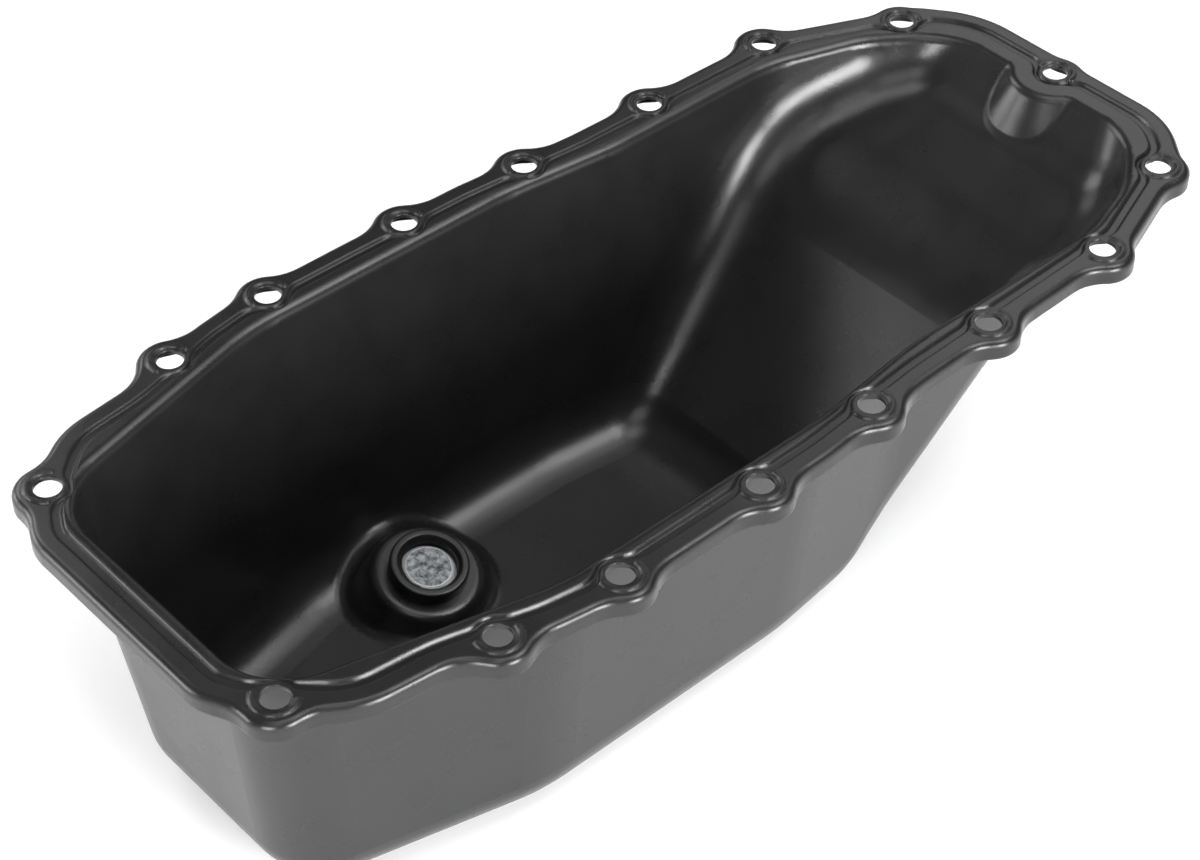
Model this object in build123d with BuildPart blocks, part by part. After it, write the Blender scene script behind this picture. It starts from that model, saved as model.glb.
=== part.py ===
"""Engine oil pan: a deep-drawn steel pan with a welded drain nut, a drain plug and its sealing washer.

Frame: millimetres, +Z up. The gasket face of the flange is the plane z = 0. +X runs along the engine from
the deep sump to the shallow end. The origin is the centre of the rectangle of four bolt holes at x = +-131.
"""
from build123d import *
from math import cos, radians, sin, tan
import os

os.makedirs("parts", exist_ok=True)

# ---- Sheet and drawing radii ----
SHEET = 1.5  # steel thickness
DRAFT = 6.0  # wall draft, degrees
SUMP_DEPTH = 114.5  # gasket face to the inside of the sump floor
FLOOR_RADIUS = 20.0  # inside radius between floor and walls
MOUTH_RADIUS = 4.0  # top radius between the flange and the walls

# ---- Flange ----
HOLE_DIAMETER = 9.0  # clearance for M8 flange bolts
LOBE_RADIUS = 11.0  # rim round each bolt hole
LOBE_BLEND = 16.0  # radius between a lobe and the straight rim
RIM_HEIGHT = 6.5  # turned-down edge, measured from the gasket face
RIM_RADIUS = 2.5  # outer radius where the edge turns down
LAND = 6.5  # rim to the gasket groove
GROOVE_WIDTH = 4.1
GROOVE_DEPTH = 1.2
GROOVE_SLOPE = 35.0  # slope of the groove's sides, degrees from vertical
RIDGE_MARGIN = 0.5  # how much wider than the groove its ridge under the flange is, on each side
GROOVE_OUTER_GAP = 1.2  # hole edge to the groove's outer edge
GROOVE_INNER_GAP = 3.6  # hole edge to the groove's inner edge
GROOVE_BLEND = 8.0  # radius where the groove bends round a hole
BEAD_RADIUS = 6.6  # centre line of the crescent bead round each hole
BEAD_WIDTH = 2.0
BEAD_HEIGHT = 0.7
BEAD_SWEEP = 185.0  # angle that a crescent bead covers, degrees

# ---- Bolt recess in the end wall, under the end bolt ----
RECESS_RADIUS = 16.0  # at the gasket face
RECESS_SLOPE = 33.0  # slope of its side, degrees from vertical
RECESS_FOOT = 5.0  # inside radius where it meets the shelf
RECESS_DEPTH = 30.0  # length of its side, reaching below the shelf

# ---- Drain ----
PAD_CENTRE = (-69.0, 34.3, -102.5)  # inside face of the raised pad, on the plug's axis
PAD_TILT = 15.0  # lean of the plug's axis from vertical, towards -Y, degrees
PAD_RADIUS = 19.0  # flat top of the pad
PAD_SLOPE = 30.0  # slope of the pad's sides, degrees from its axis
PAD_DEPTH = 24.0  # length of the pad's sides, reaching below the floor
PAD_EDGE = 4.0  # inside radius along the pad's top edge
PAD_FOOT = 5.0  # inside radius where the pad meets the floor and wall
NUT_DIAMETER = 27.7
NUT_HEIGHT = 5.8  # above the pad
PILOT_DIAMETER = 23.5  # neck of the nut that sits in the pad's hole
PILOT_LENGTH = 1.3
PILOT_CLEARANCE = 0.1  # radial clearance of the neck in the pad's hole
NUT_EDGE = 1.0  # radius of the nut's outer top edge
NUT_MOUTH_DIAMETER = 22.6
THREAD_DIAMETER = 20.0
THREAD_PITCH = 1.5
THREAD_CLEARANCE = 0.05  # radial running clearance in the nut's bore
PLUG_RECESS = 3.1  # nut's top face to the plug's end
PLUG_CHAMFER = 2.4
HEAD_FLATS = 24.0
HEAD_HEIGHT = 6.5  # collar included
HEAD_EDGE = 0.6
COLLAR_DIAMETER = 28.0
COLLAR_HEIGHT = 1.6
WASHER_DIAMETER = 27.0
WASHER_THICKNESS = 1.5
WASHER_CLEARANCE = 0.3  # radial clearance on the plug's shank
WASHER_EDGE = 0.3

# ---- Bolt holes: (x, y, direction of the nearest rim in degrees), seven mirrored pairs and three single ones ----
PAIRED = [(-192.0, 56.5, 142.0), (-131.0, 79.8, 102.0), (-88.8, 85.0, 93.0), (-32.2, 85.0, 89.0), (18.4, 82.4, 85.0),
          (74.7, 80.1, 89.0), (131.0, 79.8, 80.0)]
END_BOLT = (195.6, -2.9, 0.0)
SINGLE = [(178.6, 56.3, 65.0), (179.9, -63.1, -60.0), END_BOLT]
HOLES = PAIRED + [(x, -y, -outward) for x, y, outward in PAIRED] + SINGLE
HOLE_POINTS = [(x, y) for x, y, outward in HOLES]

# ---- Plan outlines as sharp corners with their radii: (x, y, radius), far side from left to right ----
RIM_FAR = [(-208.5, 40.8, 20), (-202.3, 52.3, 10), (-177.2, 75.8, 30), (-148.35, 78.9, 60), (-116.35, 88.4, 60),
           (-99.0, 91.0, 60), (-53.35, 90.8, 90), (-6.35, 90.0, 90), (41.65, 85.8, 90), (136.3, 83.8, 60),
           (171.3, 68.2, 40), (188.65, 61.9, 20), (205.0, 40.5, 40)]
RIM_NEAR_END = [(205.0, -47.6, 35), (190.5, -65.3, 15), (181.0, -70.0, 12), (137.5, -85.6, 6), (128.0, -83.8, 10)]
WALL_FAR = [(-193.65, 52.0, 25), (-102.35, 74.8, 80), (3.65, 74.6, 90), (49.65, 69.2, 90), (123.65, 69.0, 60),
            (159.65, 57.0, 40), (206.65, 22.6, 0)]
WALL_NEAR_END = [(206.65, -29.7, 0), (161.65, -62.5, 40), (136.65, -70.0, 60)]

# ---- Lengthways section of the inside floor: (x, z, bend radius) from the sump to the shallow end ----
PROFILE = [(44.1, -SUMP_DEPTH, 30), (118.6, -28.0, 70), (172.1, -15.5, 26)]
SLOPE_END = (247.6, 60.0)  # carries the end wall's slope on above the flange


WALL_PLAN_GUARD = 12.0  # the drawn form is built this far above the flange, then trimmed


def mirrored(corners):
    return [(x, -y, radius) for x, y, radius in reversed(corners)]


def closed_face(corners, gap=0.0):
    """Face through the corners, moved outward by gap, without its corner radii."""
    with BuildSketch() as face:
        with BuildLine():
            Polyline(*[(x, y) for x, y, radius in corners], close=True)
        make_face()
        if gap:
            offset(amount=gap, kind=Kind.INTERSECTION)
    return face.sketch


WALL_PLAN = WALL_FAR + WALL_NEAR_END + mirrored(WALL_FAR[:4])
RIM_PLAN = RIM_FAR + RIM_NEAR_END + mirrored(RIM_FAR[:9])
SECTION = [(-300.0, 60.0), (-300.0, -SUMP_DEPTH)] + [(x, z) for x, z, radius in PROFILE] + [SLOPE_END]
DRAIN = Plane(origin=PAD_CENTRE, x_dir=(1, 0, 0), z_dir=(0, -sin(radians(PAD_TILT)), cos(radians(PAD_TILT))))


def pad_radius(gap, depth):
    """Radius of the drain pad's side at a depth below its inside face, moved inward by gap."""
    return PAD_RADIUS + depth * tan(radians(PAD_SLOPE)) - gap / cos(radians(PAD_SLOPE))


def recess_radius(gap, z):
    """Radius of the bolt recess's side at a height, moved inward by gap."""
    return RECESS_RADIUS - z * tan(radians(RECESS_SLOPE)) - gap / cos(radians(RECESS_SLOPE))


def height_on_axis(shape):
    """Height of a face's or edge's middle above the pad, along the plug's axis."""
    return (shape.center() - DRAIN.origin).dot(DRAIN.z_dir)


def drawn_form(gap):
    """Solid that fills the pan up to z = 0: its inside for gap 0, its outside for gap SHEET."""
    above = WALL_PLAN_GUARD
    with BuildPart() as form:
        with BuildSketch(Plane.XY.offset(above)):
            add(closed_face(WALL_PLAN, gap / cos(radians(DRAFT)) + above * tan(radians(DRAFT))))
        extrude(amount=-(above + SUMP_DEPTH + 20.0))
        draft(form.faces().filter_by(Axis.Z, reverse=True), Plane.XY.offset(above), -DRAFT)
        for x, y, radius in WALL_PLAN:
            if radius:
                uprights = form.edges().filter_by(lambda e: abs(e.tangent_at(0.5).Z) > 0.7)
                fillet(uprights.sort_by_distance(Vector(x, y, 0))[0], radius + gap)
        with BuildSketch(Plane.XZ) as section:
            with BuildLine():
                Polyline(*SECTION, close=True)
            make_face()
            if gap:
                offset(amount=gap, kind=Kind.INTERSECTION)
            for x, z, radius in PROFILE:
                bend = section.vertices().sort_by_distance(Vector(x, z))[0]
                fillet(bend, radius - gap if (x, z, radius) == PROFILE[1] else radius + gap)
        extrude(amount=150.0, both=True, mode=Mode.INTERSECT)
        floors = form.faces().filter_by(lambda f: f.normal_at().Z < -0.3)
        seams = [e for floor in floors for e in floor.edges() if e.center().Z < above - 1.0]
        fillet([e for e in seams if len([o for o in seams if o.is_same(e)]) == 1], FLOOR_RADIUS + gap)
        with Locations((END_BOLT[0], END_BOLT[1], above)):
            Cone(recess_radius(gap, -RECESS_DEPTH), recess_radius(gap, above), above + RECESS_DEPTH,
                 align=(Align.CENTER, Align.CENTER, Align.MAX), mode=Mode.SUBTRACT)
        recess = form.faces().filter_by(GeomType.CONE).sort_by_distance(Vector(END_BOLT[0], END_BOLT[1], 0))[0]
        fillet(recess.edges().filter_by(lambda e: e.geom_type != GeomType.LINE and e.center().Z < above - 1.0),
               RECESS_FOOT + gap)
        with Locations(DRAIN.offset(-gap).location):
            Cone(pad_radius(gap, PAD_DEPTH), pad_radius(gap, gap), PAD_DEPTH - gap,
                 align=(Align.CENTER, Align.CENTER, Align.MAX), mode=Mode.SUBTRACT)
        pad_side = form.faces().filter_by(GeomType.CONE).sort_by_distance(DRAIN.origin)[0]
        fillet(pad_side.edges().filter_by(lambda e: e.geom_type not in (GeomType.CIRCLE, GeomType.LINE)),
               PAD_FOOT + gap)
        fillet(form.edges().filter_by(GeomType.CIRCLE).sort_by_distance(DRAIN.origin)[0], PAD_EDGE - gap)
        split(bisect_by=Plane.XY, keep=Keep.BOTTOM)
    return form.part


def rounded_rim(inset=0.0):
    """Rim outline without its lobes, moved inward."""
    with BuildSketch() as rim:
        add(closed_face(RIM_PLAN))
        for x, y, radius in RIM_PLAN:
            fillet(rim.vertices().sort_by_distance(Vector(x, y))[0], radius)
        if inset:
            offset(amount=-inset, kind=Kind.ARC)
    return rim.sketch


def lobed_rim(inset=0.0):
    """Rim outline with a blended lobe at each bolt hole, moved inward."""
    with BuildSketch() as rim:
        add(rounded_rim())
        with Locations(*HOLE_POINTS):
            Circle(LOBE_RADIUS)
        offset(amount=LOBE_BLEND, kind=Kind.ARC)
        offset(amount=-LOBE_BLEND - inset, kind=Kind.ARC)
    return rim.sketch


def groove_curve(inset, hole_gap):
    """One edge of the gasket groove: the rim moved inward and kept clear of the bolt holes."""
    with BuildSketch() as curve:
        add(rounded_rim(inset))
        with Locations(*HOLE_POINTS):
            Circle(HOLE_DIAMETER / 2 + hole_gap, mode=Mode.SUBTRACT)
        offset(amount=-GROOVE_BLEND, kind=Kind.ARC)
        offset(amount=GROOVE_BLEND, kind=Kind.ARC)
    return curve.sketch


def groove_ring(widen=0.0):
    """Band between the groove's two edges, widened on each side."""
    with BuildSketch() as ring:
        add(groove_curve(LAND - widen, GROOVE_OUTER_GAP - widen))
        add(groove_curve(LAND + GROOVE_WIDTH + widen, GROOVE_INNER_GAP + widen), mode=Mode.SUBTRACT)
    return ring.sketch


# ---- Crescent bead, drawn once round a hole at the origin with its middle towards +X ----
with BuildPart() as bead:
    with BuildSketch(Plane.XY.offset(-0.3)):
        with BuildLine():
            CenterArc((0, 0), BEAD_RADIUS, -BEAD_SWEEP / 2, BEAD_SWEEP)
        SlotArc(arc=CenterArc((0, 0), BEAD_RADIUS, -BEAD_SWEEP / 2, BEAD_SWEEP), height=BEAD_WIDTH)
    extrude(amount=BEAD_HEIGHT + 0.3)
    chamfer(bead.faces().sort_by(Axis.Z)[-1].edges(), BEAD_HEIGHT * 0.7)

# ---- Pan: flange with its turned-down edge, drawn body, groove, beads and bolt holes ----
with BuildPart() as pan_shell:
    with BuildSketch(Plane.XY.offset(-RIM_HEIGHT)):
        add(lobed_rim())
    extrude(amount=RIM_HEIGHT)
    fillet(pan_shell.faces().sort_by(Axis.Z)[-1].edges(), RIM_RADIUS)
    with BuildPart(mode=Mode.SUBTRACT) as hollow:
        with BuildSketch(Plane.XY.offset(-RIM_HEIGHT)):
            add(lobed_rim(SHEET))
        extrude(amount=RIM_HEIGHT - SHEET)
        chamfer(hollow.faces().sort_by(Axis.Z)[-1].edges(), RIM_RADIUS - SHEET)
    add(drawn_form(SHEET))
    under = pan_shell.faces().filter_by(lambda f: abs(f.center().Z + SHEET) < 0.01 and f.normal_at().Z < -0.9)[0]
    fillet(under.inner_wires()[0].edges(), MOUTH_RADIUS - SHEET)
    add(drawn_form(0.0), mode=Mode.SUBTRACT)
    top = pan_shell.faces().filter_by(lambda f: abs(f.center().Z) < 0.01 and f.normal_at().Z > 0.9)[0]
    fillet(top.inner_wires()[0].edges(), MOUTH_RADIUS)
    with BuildSketch(Plane.XY.offset(-SHEET)):
        add(groove_ring(RIDGE_MARGIN))
    extrude(amount=-GROOVE_DEPTH)
    with BuildSketch(Plane.XY):
        add(groove_ring())
    extrude(amount=-GROOVE_DEPTH, taper=GROOVE_SLOPE, mode=Mode.SUBTRACT)
    for x, y, outward in HOLES:
        with Locations(Location((x, y, 0), (0, 0, outward))):
            add(bead.part)
    with BuildSketch(Plane.XY):
        with Locations(*HOLE_POINTS):
            Circle(HOLE_DIAMETER / 2)
    extrude(amount=-RIM_HEIGHT, mode=Mode.SUBTRACT)
    with Locations(DRAIN.location):
        Cylinder(PILOT_DIAMETER / 2 + PILOT_CLEARANCE, 4 * SHEET, mode=Mode.SUBTRACT)
pan_shell.part.label = "pan_shell"
export_step(pan_shell.part, "parts/pan_shell.step")

# ---- Drain nut: welded on the pad inside the sump ----
with BuildPart() as drain_nut:
    with BuildSketch(DRAIN):
        Circle(NUT_DIAMETER / 2)
    extrude(amount=NUT_HEIGHT)
    with BuildSketch(DRAIN):
        Circle(PILOT_DIAMETER / 2)
    extrude(amount=-PILOT_LENGTH)
    with Locations(DRAIN.location):
        Cylinder(THREAD_DIAMETER / 2 + THREAD_CLEARANCE, 4 * NUT_HEIGHT, mode=Mode.SUBTRACT)
    outer, inner = drain_nut.faces().sort_by(height_on_axis)[-1].edges().sort_by(SortBy.LENGTH, reverse=True)
    fillet(outer, NUT_EDGE)
    chamfer(inner, (NUT_MOUTH_DIAMETER - THREAD_DIAMETER) / 2 - THREAD_CLEARANCE)
drain_nut.part.label = "drain_nut"
export_step(drain_nut.part, "parts/drain_nut.step")

# ---- Sealing washer: between the pad's outside face and the plug's collar ----
with BuildPart() as plug_washer:
    with BuildSketch(DRAIN.offset(-SHEET)):
        Circle(WASHER_DIAMETER / 2)
        Circle(THREAD_DIAMETER / 2 + WASHER_CLEARANCE, mode=Mode.SUBTRACT)
    extrude(amount=-WASHER_THICKNESS)
    fillet(plug_washer.edges(), WASHER_EDGE)
plug_washer.part.label = "plug_washer"
export_step(plug_washer.part, "parts/plug_washer.step")

# ---- Drain plug: shank, collar and hexagon head ----
COLLAR_TOP = -SHEET - WASHER_THICKNESS
with BuildPart() as drain_plug:
    with BuildSketch(DRAIN.offset(COLLAR_TOP)):
        Circle(THREAD_DIAMETER / 2)
    extrude(amount=NUT_HEIGHT - PLUG_RECESS - COLLAR_TOP)
    chamfer(drain_plug.faces().sort_by(height_on_axis)[-1].edges(), PLUG_CHAMFER)
    with BuildSketch(DRAIN.offset(COLLAR_TOP - HEAD_HEIGHT)):
        RegularPolygon(HEAD_FLATS / 2, 6, major_radius=False)
    extrude(amount=HEAD_HEIGHT)
    with BuildSketch(DRAIN.offset(COLLAR_TOP)):
        Circle(COLLAR_DIAMETER / 2)
    extrude(amount=-COLLAR_HEIGHT)
    fillet(drain_plug.faces().sort_by(height_on_axis)[0].edges(), HEAD_EDGE)
drain_plug.part.label = "drain_plug"
export_step(drain_plug.part, "parts/drain_plug.step")
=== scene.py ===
"""Looks of the engine oil pan: finishes, the plug's turned end, the nut's thread, studio and camera."""
import bpy
from math import cos, pi, radians, sin
from mathutils import Matrix, Vector


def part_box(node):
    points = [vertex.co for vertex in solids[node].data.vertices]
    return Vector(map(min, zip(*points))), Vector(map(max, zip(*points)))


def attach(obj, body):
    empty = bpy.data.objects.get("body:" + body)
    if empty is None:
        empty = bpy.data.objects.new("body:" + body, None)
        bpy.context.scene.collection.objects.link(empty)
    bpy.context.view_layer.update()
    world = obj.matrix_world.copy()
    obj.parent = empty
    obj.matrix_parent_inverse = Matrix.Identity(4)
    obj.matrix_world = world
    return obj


MM = 0.001

# ---- Black coat ----
COAT_TONES = (0.009, 0.009, 0.0094), (0.016, 0.016, 0.0166)  # darkest and palest
COAT_ROUGHNESS = 0.24, 0.32
COAT_IOR = 1.5
COAT_MOTTLE = 60.0  # noise scale of the changes in tone and gloss
PRESS_EDGE = 0.9 * MM  # radius that pressed edges are shaded with
PEEL_SCALE, PEEL_STRENGTH, PEEL_DEPTH = 900.0, 0.12, 0.2 * MM  # orange peel
RIPPLE_SCALE, RIPPLE_STRENGTH, RIPPLE_DEPTH = 26.0, 0.35, 1.2 * MM  # faint drawing waves in the walls
RIPPLE_STRETCH = 0.12  # noise scale along the height, as a share, so that the waves stand upright

# ---- Zinc plate, and the machined chamfer on the plug's end ----
ZINC_SCALE, ZINC_STRENGTH, ZINC_DEPTH = 520.0, 0.3, 0.2 * MM
ZINC_TONES = (0.05, 0.054, 0.056), (0.38, 0.4, 0.41)
ZINC_SPREAD = 0.36, 0.68  # part of the noise that the tones cover
MACHINED_TONE = (0.92, 0.93, 0.94)
ZINC_ROUGHNESS, MACHINED_ROUGHNESS = 0.5, 0.42
ZINC_METALLIC, MACHINED_METALLIC = 1.0, 0.35  # turning marks scatter light, so it is less of a mirror

# ---- Drain: its axes as in part.py, then measures on them from the pad's inside face, in millimetres ----
PAD_CENTRE = Vector((-69.0, 34.3, -102.5)) * MM
PAD_TILT = radians(15)
DRAIN = Matrix.Translation(PAD_CENTRE) @ Matrix.Rotation(PAD_TILT, 4, "X")
CHAMFER_RADIUS = 8.1  # inner edge of the chamfer
CHAMFER_BLEND = -0.4, 0.1  # where the plate gives way to bare metal, from that edge
# The plug's end as (radius, height): centre mark, face, chamfer and first land
END_PROFILE = [(0.02, 2.5), (0.5, 2.62), (0.9, 2.76), (1.4, 2.78), (5.0, 2.78), (7.95, 2.78),
               (8.1, 2.74), (9.0, 1.8), (9.85, 0.95), (9.93, 0.85), (9.93, 0.4)]
THREAD_RADIUS, THREAD_PITCH, THREAD_DEPTH = 10.0, 1.5, 0.6
THREAD_START = 3.4  # height
THREAD_TURNS, THREAD_RUN_OUT = 0.6, 0.125  # turns in all, and at each end
THREAD_SINK = 0.1  # how far the thread's foot lies in the nut's metal
THREAD_FOOT, THREAD_CREST = 0.42, 0.06  # half widths, as a share of the pitch
STEPS = 96  # per turn

# ---- Studio, in metres ----
FLOOR_SIZE = 60.0
FLOOR_GAP = 0.2 * MM  # keeps the floor off the sump's lowest face
FLOOR_TONES = (0.86, 0.86, 0.86), (0.9, 0.9, 0.9)
FLOOR_ROUGHNESS = 0.9
FLOOR_SPECKS = 3.0  # noise scale
# What brings the floor to white for the camera and for reflections, near the pan and beyond the lamps
FLOOR_LIFT, FAR_LIFT = 0.2, 0.95
NEAR_FLOOR, FAR_FLOOR = 1.1, 2.8  # distances from the middle between which the lift changes
HORIZON, ZENITH = 1.0, 0.04  # brightness of the surroundings, at the horizon and above HORIZON_HEIGHT
HORIZON_HEIGHT = 0.2  # sine of the angle above level
LAMP_DISTANCE, LAMP_SIZE = 1.8, 0.7
# Soft square lamps as (degrees round from +X, degrees up, watts)
LAMPS = [(120, 14, 9.4), (150, 14, 12.9), (210, 14, 22.9), (270, 14, 43.0), (30, 36, 2.6),
         (90, 36, 7.0), (0, 60, 3.2), (315, 60, 11.6), (0, 88, 4.4), (225, 60, 3.5)]

# ---- Camera, fitted to the bolt holes in the photograph ----
LENS, SENSOR = 81.36, 36.0  # millimetres
CAMERA_PLACE = Vector((-0.46115, -0.4908, 0.5605))
CAMERA_FORWARD = Vector((0.4927, 0.5489, -0.6752)).normalized()
CAMERA_RIGHT = Vector((0.744, -0.668, 0.0)).normalized()

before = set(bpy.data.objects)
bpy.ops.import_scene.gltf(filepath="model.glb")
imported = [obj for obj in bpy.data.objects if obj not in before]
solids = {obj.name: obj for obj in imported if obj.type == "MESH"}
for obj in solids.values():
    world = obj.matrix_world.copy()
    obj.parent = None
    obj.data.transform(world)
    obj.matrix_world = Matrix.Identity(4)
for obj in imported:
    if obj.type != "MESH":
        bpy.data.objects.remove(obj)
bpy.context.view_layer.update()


def new_material(name):
    """Make a material with one Principled shader, and return it with its tree and that shader."""
    mat = bpy.data.materials.new(name)
    mat.use_nodes = True
    tree = mat.node_tree
    tree.nodes.clear()
    out = tree.nodes.new("ShaderNodeOutputMaterial")
    shader = tree.nodes.new("ShaderNodeBsdfPrincipled")
    tree.links.new(shader.outputs[0], out.inputs[0])
    return mat, tree, shader


def node(tree, kind, **values):
    """Add a node, with its inputs or its settings given by name."""
    made = tree.nodes.new(kind)
    for key, value in values.items():
        if key in made.inputs:
            made.inputs[key].default_value = value
        else:
            setattr(made, key, value)
    return made


def fed(tree, kind, sources, **values):
    """Add a node whose first inputs are fed by the sources, and return its outputs."""
    made = node(tree, kind, **values)
    for slot, source in enumerate(sources):
        tree.links.new(source, made.inputs[slot])
    return made.outputs


def noise(tree, where, scale, detail=2.0, roughness=0.5):
    """Noise at the places given by where."""
    made = node(tree, "ShaderNodeTexNoise", Scale=scale, Detail=detail, Roughness=roughness)
    tree.links.new(where, made.inputs["Vector"])
    return made.outputs[0]


def spread(tree, source, low, high, start=0.0, stop=1.0, curve="LINEAR"):
    """Map a value between start and stop to one between low and high."""
    made = node(tree, "ShaderNodeMapRange", interpolation_type=curve)
    for name, value in (("From Min", start), ("From Max", stop), ("To Min", low), ("To Max", high)):
        made.inputs[name].default_value = value
    tree.links.new(source, made.inputs["Value"])
    return made.outputs[0]


def toned(tree, source, tones, start=0.0, stop=1.0):
    """Colour a value between start and stop from the first tone to the second."""
    made = node(tree, "ShaderNodeValToRGB")
    for element, place, tone in zip(made.color_ramp.elements, (start, stop), tones):
        element.position = place
        element.color = (*tone, 1)
    tree.links.new(source, made.inputs[0])
    return made.outputs[0]


def bumped(tree, height, strength, depth, normal=None):
    """Turn a height into a normal, on top of another normal if one is given."""
    made = node(tree, "ShaderNodeBump", Strength=strength, Distance=depth)
    tree.links.new(height, made.inputs["Height"])
    if normal:
        tree.links.new(normal, made.inputs["Normal"])
    return made.outputs[0]


def black_coat():
    """Satin black coat with softened pressed edges, faint drawing waves, orange peel and some mottling."""
    mat, tree, shader = new_material("black_coat")
    where = node(tree, "ShaderNodeTexCoord").outputs["Object"]
    edges = node(tree, "ShaderNodeBevel", samples=6, Radius=PRESS_EDGE).outputs[0]
    upright = fed(tree, "ShaderNodeMapping", [where], Scale=(1.0, 1.0, RIPPLE_STRETCH))[0]
    ripple = noise(tree, upright, RIPPLE_SCALE, detail=1.0)
    waves = bumped(tree, ripple, RIPPLE_STRENGTH, RIPPLE_DEPTH, edges)
    peel = noise(tree, where, PEEL_SCALE, detail=3.0, roughness=0.55)
    tree.links.new(bumped(tree, peel, PEEL_STRENGTH, PEEL_DEPTH, waves), shader.inputs["Normal"])
    mottle = noise(tree, where, COAT_MOTTLE, detail=4.0)
    tree.links.new(spread(tree, mottle, *COAT_ROUGHNESS), shader.inputs["Roughness"])
    tree.links.new(toned(tree, mottle, COAT_TONES), shader.inputs["Base Color"])
    shader.inputs["IOR"].default_value = COAT_IOR
    return mat


def on_chamfer(tree, where):
    """1 outside the chamfer's inner edge and above the pad's inside face, and 0 elsewhere."""
    from_pad = node(tree, "ShaderNodeVectorMath", operation="SUBTRACT")
    from_pad.inputs[1].default_value = PAD_CENTRE
    tree.links.new(where, from_pad.inputs[0])
    turned = node(tree, "ShaderNodeVectorRotate", rotation_type="X_AXIS", Angle=-PAD_TILT)
    tree.links.new(from_pad.outputs[0], turned.inputs["Vector"])
    x, y, height = fed(tree, "ShaderNodeSeparateXYZ", [turned.outputs[0]])
    across = fed(tree, "ShaderNodeCombineXYZ", [x, y])[0]
    radius = fed(tree, "ShaderNodeVectorMath", [across], operation="LENGTH")["Value"]
    start, stop = ((CHAMFER_RADIUS + blend) * MM for blend in CHAMFER_BLEND)
    outside = spread(tree, radius, 0.0, 1.0, start, stop)
    above = node(tree, "ShaderNodeMath", operation="GREATER_THAN")
    above.inputs[1].default_value = 0.0
    tree.links.new(height, above.inputs[0])
    return fed(tree, "ShaderNodeMath", [outside, above.outputs[0]], operation="MULTIPLY")[0]


def zinc():
    """Mottled zinc plate, with the plug's end chamfer left as bright machined metal."""
    mat, tree, shader = new_material("zinc")
    where = node(tree, "ShaderNodeTexCoord").outputs["Object"]
    cells = noise(tree, where, ZINC_SCALE, detail=6.0, roughness=0.65)
    plate = toned(tree, cells, ZINC_TONES, *ZINC_SPREAD)
    machined = on_chamfer(tree, where)
    tint = fed(tree, "ShaderNodeMixRGB", [machined, plate], Color2=(*MACHINED_TONE, 1))[0]
    tree.links.new(tint, shader.inputs["Base Color"])
    tree.links.new(spread(tree, machined, ZINC_ROUGHNESS, MACHINED_ROUGHNESS), shader.inputs["Roughness"])
    tree.links.new(spread(tree, machined, ZINC_METALLIC, MACHINED_METALLIC), shader.inputs["Metallic"])
    tree.links.new(bumped(tree, cells, ZINC_STRENGTH, ZINC_DEPTH), shader.inputs["Normal"])
    return mat


def paint(obj, mat):
    """Give an object one material."""
    obj.data.materials.clear()
    obj.data.materials.append(mat)


def skinned(name, rows, closed, mat, body):
    """Skin rows of points, in millimetres on the drain's axes, into a piece that rides on a body."""
    wide, last = len(rows[0]), len(rows) if closed else len(rows) - 1
    verts = [DRAIN @ (Vector(point) * MM) for row in rows for point in row]
    faces = []
    for i in range(last):
        here, after = wide * i, wide * ((i + 1) % len(rows))
        faces += [(here + j, here + j + 1, after + j + 1, after + j) for j in range(wide - 1)]
    mesh = bpy.data.meshes.new(name)
    mesh.from_pydata(verts, [], faces)
    mesh.validate()
    piece = bpy.data.objects.new(name, mesh)
    bpy.context.scene.collection.objects.link(piece)
    paint(piece, mat)
    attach(piece, body)


def at_turn(turn, radius, height):
    """Point at a part of a turn round the drain's axis."""
    return radius * cos(2 * pi * turn), radius * sin(2 * pi * turn), height


# ---- Finishes of the solids ----
coat, plated = black_coat(), zinc()
paint(solids["pan_shell"], coat)
paint(solids["drain_nut"], coat)
paint(solids["drain_plug"], plated)
paint(solids["plug_washer"], plated)

# ---- The plug's turned end, and the thread's run-out in the nut's mouth above it ----
end_rows = [[at_turn(step / STEPS, radius, height) for radius, height in END_PROFILE]
            for step in range(STEPS)]
skinned("plug_end", end_rows, closed=True, mat=plated, body="plug")

thread_rows = []
for step in range(int(STEPS * THREAD_TURNS) + 1):
    turn = step / STEPS
    depth = THREAD_DEPTH * min(1.0, turn / THREAD_RUN_OUT, (THREAD_TURNS - turn) / THREAD_RUN_OUT)
    profile = [(-THREAD_SINK, -THREAD_FOOT), (depth, -THREAD_CREST),
               (depth, THREAD_CREST), (-THREAD_SINK, THREAD_FOOT)]
    thread_rows.append([at_turn(turn, THREAD_RADIUS - inward, THREAD_START + (turn + along) * THREAD_PITCH)
                        for inward, along in profile])
skinned("nut_thread", thread_rows, closed=False, mat=coat, body="pan")

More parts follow.
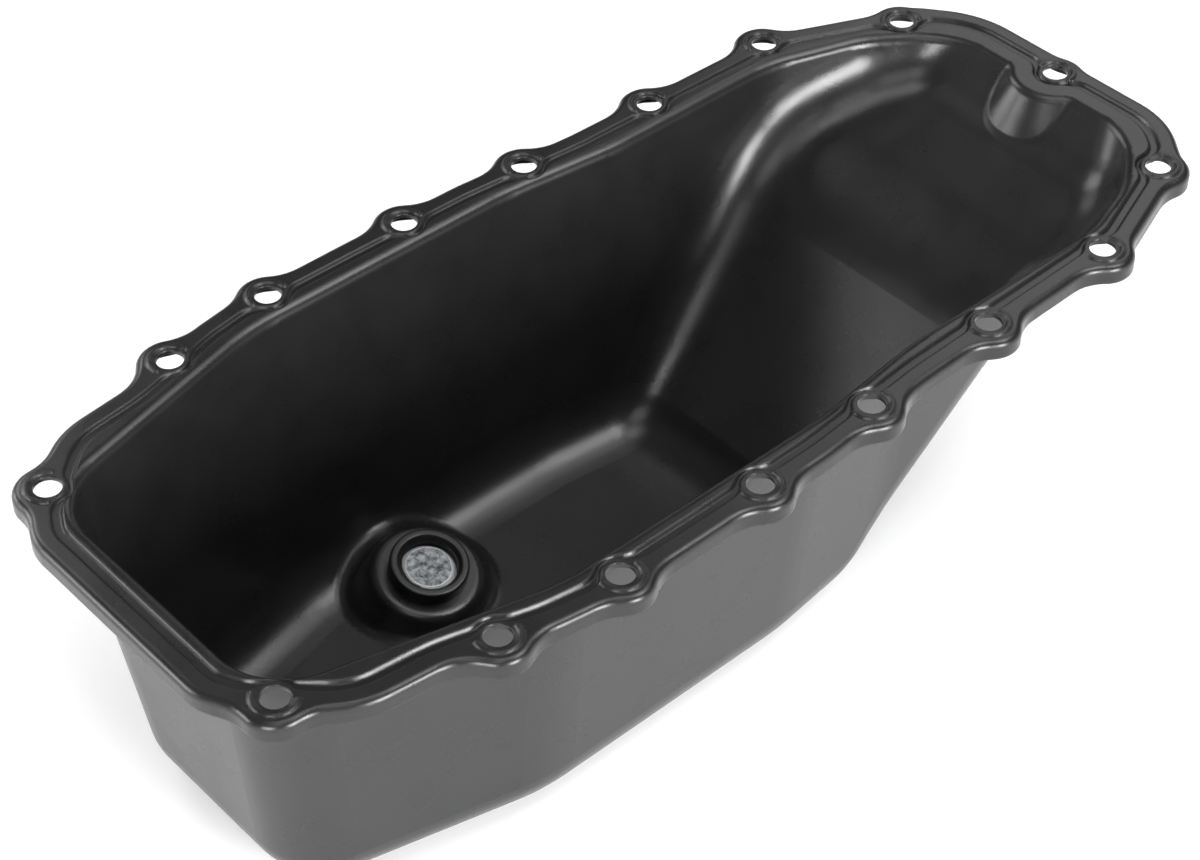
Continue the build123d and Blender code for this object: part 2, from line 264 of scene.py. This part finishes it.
# ---- Studio ----
bpy.ops.mesh.primitive_plane_add(size=FLOOR_SIZE, location=(0, 0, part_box("pan_shell")[0].z - FLOOR_GAP))
floor = bpy.context.object
floor.name = "studio_floor"
mat, tree, shader = new_material("studio_floor")
specks = node(tree, "ShaderNodeTexNoise", Scale=FLOOR_SPECKS).outputs[0]
tree.links.new(toned(tree, specks, FLOOR_TONES), shader.inputs["Base Color"])
shader.inputs["Roughness"].default_value = FLOOR_ROUGHNESS
rays = node(tree, "ShaderNodeLightPath").outputs
shown = fed(tree, "ShaderNodeMath", [rays["Is Camera Ray"], rays["Is Glossy Ray"]], operation="MAXIMUM")[0]
shown = fed(tree, "ShaderNodeMath", [shown, rays["Is Transmission Ray"]], operation="MAXIMUM")[0]
place = node(tree, "ShaderNodeTexCoord").outputs["Object"]
reach = fed(tree, "ShaderNodeVectorMath", [place], operation="LENGTH")["Value"]
wanted = spread(tree, reach, FLOOR_LIFT, FAR_LIFT, NEAR_FLOOR, FAR_FLOOR, curve="SMOOTHSTEP")
lift = fed(tree, "ShaderNodeMath", [shown, wanted], operation="MULTIPLY")[0]
tree.links.new(lift, shader.inputs["Emission Strength"])
shader.inputs["Emission Color"].default_value = (1, 1, 1, 1)
paint(floor, mat)

world = bpy.data.worlds.new("studio")
bpy.context.scene.world = world
world.use_nodes = True
tree = world.node_tree
sight = node(tree, "ShaderNodeTexCoord").outputs["Generated"]
sine_up = fed(tree, "ShaderNodeSeparateXYZ", [sight])["Z"]
brightness = spread(tree, sine_up, HORIZON, ZENITH, 0.0, HORIZON_HEIGHT, curve="SMOOTHSTEP")
tree.links.new(brightness, tree.nodes["Background"].inputs["Color"])

for degrees_round, degrees_up, watts in LAMPS:
    data = bpy.data.lights.new("lamp_%d_%d" % (degrees_round, degrees_up), "AREA")
    data.shape, data.size, data.energy = "SQUARE", LAMP_SIZE, watts
    lamp = bpy.data.objects.new(data.name, data)
    bpy.context.scene.collection.objects.link(lamp)
    level = cos(radians(degrees_up))
    round_x = radians(degrees_round)
    way = Vector((cos(round_x) * level, sin(round_x) * level, sin(radians(degrees_up))))
    lamp.visible_camera = False
    lamp.location = LAMP_DISTANCE * way
    lamp.rotation_euler = (-way).to_track_quat("-Z", "Y").to_euler()

# ---- Camera ----
data = bpy.data.cameras.new("camera")
data.lens, data.sensor_width = LENS, SENSOR
camera = bpy.data.objects.new("camera", data)
bpy.context.scene.collection.objects.link(camera)
axes = Matrix((CAMERA_RIGHT, CAMERA_RIGHT.cross(CAMERA_FORWARD), -CAMERA_FORWARD)).transposed()
camera.matrix_world = Matrix.Translation(CAMERA_PLACE) @ axes.to_4x4()
bpy.context.scene.camera = camera
bpy.context.scene.view_settings.view_transform = "Standard"
